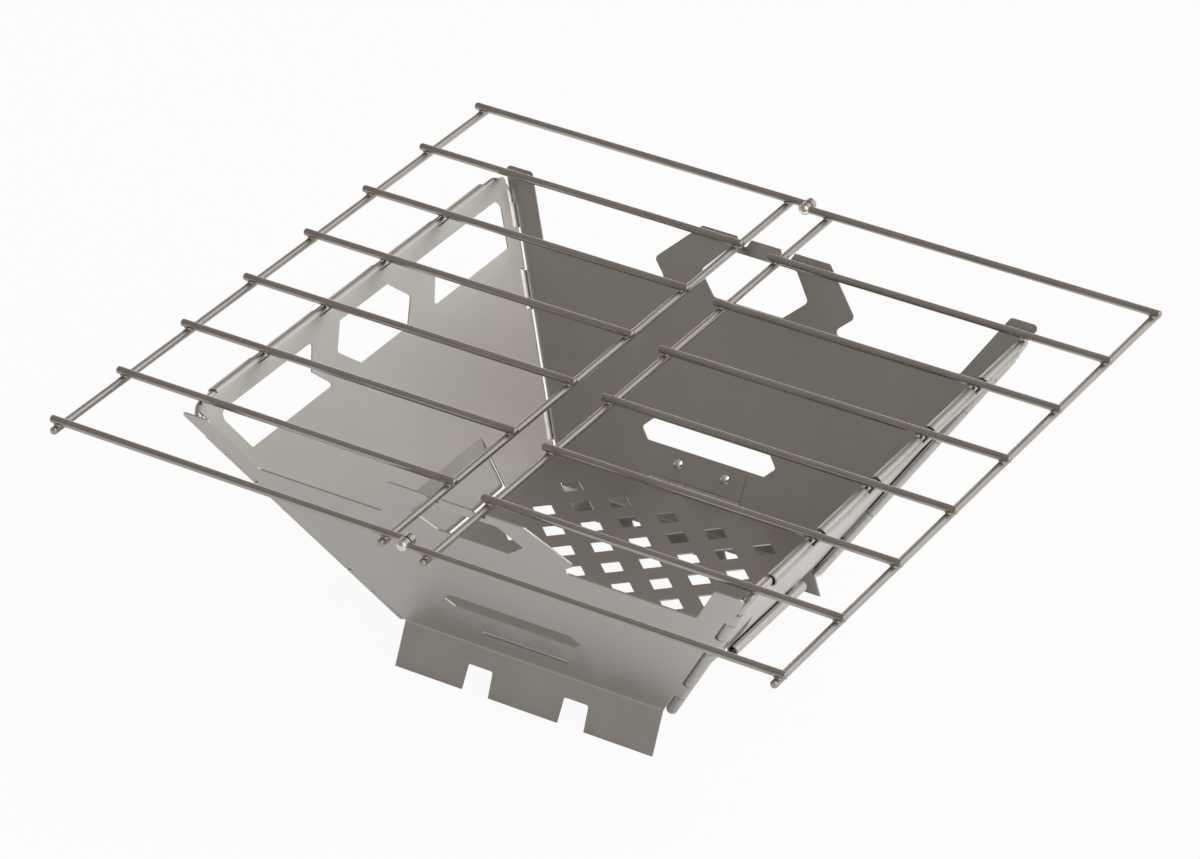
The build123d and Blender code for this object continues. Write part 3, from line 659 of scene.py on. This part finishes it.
def studio_world(studio):
    """White to the camera. It lights the box brightly from the right and dimly from the front."""
    world = bpy.data.worlds.new("studio_world")
    bpy.context.scene.world = world
    f = Finish(world)
    way = f.add("ShaderNodeTexCoord", output="Generated")
    height = f.dot(way, (0, 0, 1))
    bright = f.dot(way, BRIGHT_WAY).ramp(*BRIGHT_SPREAD)
    above = height.ramp(*TOP_SPREAD)
    backdrop = f.dot(way, BACKDROP_WAY).ramp(*BACKDROP_SPREAD) * height.ramp(*BACKDROP_HEIGHT)
    level = studio.dim_level + bright * (studio.bright_level - studio.dim_level)
    level = level + backdrop * studio.backdrop_level
    level = level * (1 - above) + above * studio.top_level
    seen = f.add("ShaderNodeLightPath", output="Is Camera Ray")
    strength = seen + (1 - seen) * level
    tint = f.blend(bright + seen, plain(studio.dim_tint), (1, 1, 1))
    shader = f.add("ShaderNodeBackground", {}, {"Color": tint, "Strength": strength})
    f.add_output("ShaderNodeOutputWorld", shader)


def lamp(name, location, target, power):
    """A soft square lamp that faces its target."""
    data = bpy.data.lights.new(name, "AREA")
    data.size = LAMP_SIZE
    data.energy = power
    lamp_object = bpy.data.objects.new(name, data)
    lamp_object.location = location
    lamp_object.rotation_mode = "QUATERNION"
    lamp_object.rotation_quaternion = (Vector(target) - Vector(location)).to_track_quat("-Z", "Y")
    bpy.context.scene.collection.objects.link(lamp_object)


def studio_camera(studio):
    """The camera, at the photograph's angle and with its perspective."""
    data = bpy.data.cameras.new("camera")
    data.sensor_width = SENSOR_WIDTH
    data.lens = studio.focal_px / FRAME_WIDTH * SENSOR_WIDTH
    camera = bpy.data.objects.new("camera", data)
    a, e, r = studio.azimuth, studio.elevation, studio.roll
    ahead = Vector((-math.sin(a) * math.cos(e), math.cos(a) * math.cos(e), -math.sin(e)))
    level = Vector((math.cos(a), math.sin(a), 0))
    upright = level.cross(ahead)
    right = math.cos(r) * level + math.sin(r) * upright
    up = math.cos(r) * upright - math.sin(r) * level
    turn = Matrix((right, up, -ahead)).transposed()
    camera.matrix_world = Matrix.Translation(studio.eye) @ turn.to_4x4()
    bpy.context.scene.collection.objects.link(camera)
    bpy.context.scene.camera = camera


class FIREBOX_OT_studio(bpy.types.Operator):
    """Set up the floor, light and camera"""

    bl_idname = "firebox.studio"
    bl_label = "Studio"

    def execute(self, context):
        studio = context.scene.firebox.studio
        studio_floor(studio)
        studio_world(studio)
        studio_camera(studio)
        lamp("key_lamp", KEY_PLACE, KEY_TARGET, studio.key_power)
        lamp("side_lamp", SIDE_PLACE, SIDE_TARGET, studio.side_power)
        context.scene.view_settings.view_transform = "Standard"
        return {"FINISHED"}


class FIREBOX_PT_panel(bpy.types.Panel):
    """Steps that finish the fire box grill"""

    bl_idname = "FIREBOX_PT_panel"
    bl_label = "Fire Box"
    bl_space_type = "VIEW_3D"
    bl_region_type = "UI"
    bl_category = "Fire Box"

    def draw(self, context):
        for step in STEPS:
            self.layout.operator(step)


STEPS = (
    "firebox.walls",
    "firebox.floor",
    "firebox.floor_hinge",
    "firebox.corner_rods",
    "firebox.grate",
    "firebox.welds",
    "firebox.grate_hinge",
    "firebox.studio",
)

CLASSES = (
    FireBoxSheet,
    FireBoxWire,
    FireBoxRivet,
    FireBoxRod,
    FireBoxStudio,
    FireBoxSettings,
    FIREBOX_OT_walls,
    FIREBOX_OT_floor,
    FIREBOX_OT_floor_hinge,
    FIREBOX_OT_corner_rods,
    FIREBOX_OT_grate,
    FIREBOX_OT_welds,
    FIREBOX_OT_grate_hinge,
    FIREBOX_OT_studio,
    FIREBOX_PT_panel,
)


def register():
    for cls in CLASSES:
        bpy.utils.register_class(cls)
    bpy.types.Scene.firebox = PointerProperty(type=FireBoxSettings)


def unregister():
    del bpy.types.Scene.firebox
    for cls in reversed(CLASSES):
        bpy.utils.unregister_class(cls)


def main():
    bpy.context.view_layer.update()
    register()
    for step in STEPS:
        group, name = step.split(".")
        getattr(getattr(bpy.ops, group), name)()


if __name__ == "__main__":
    main()
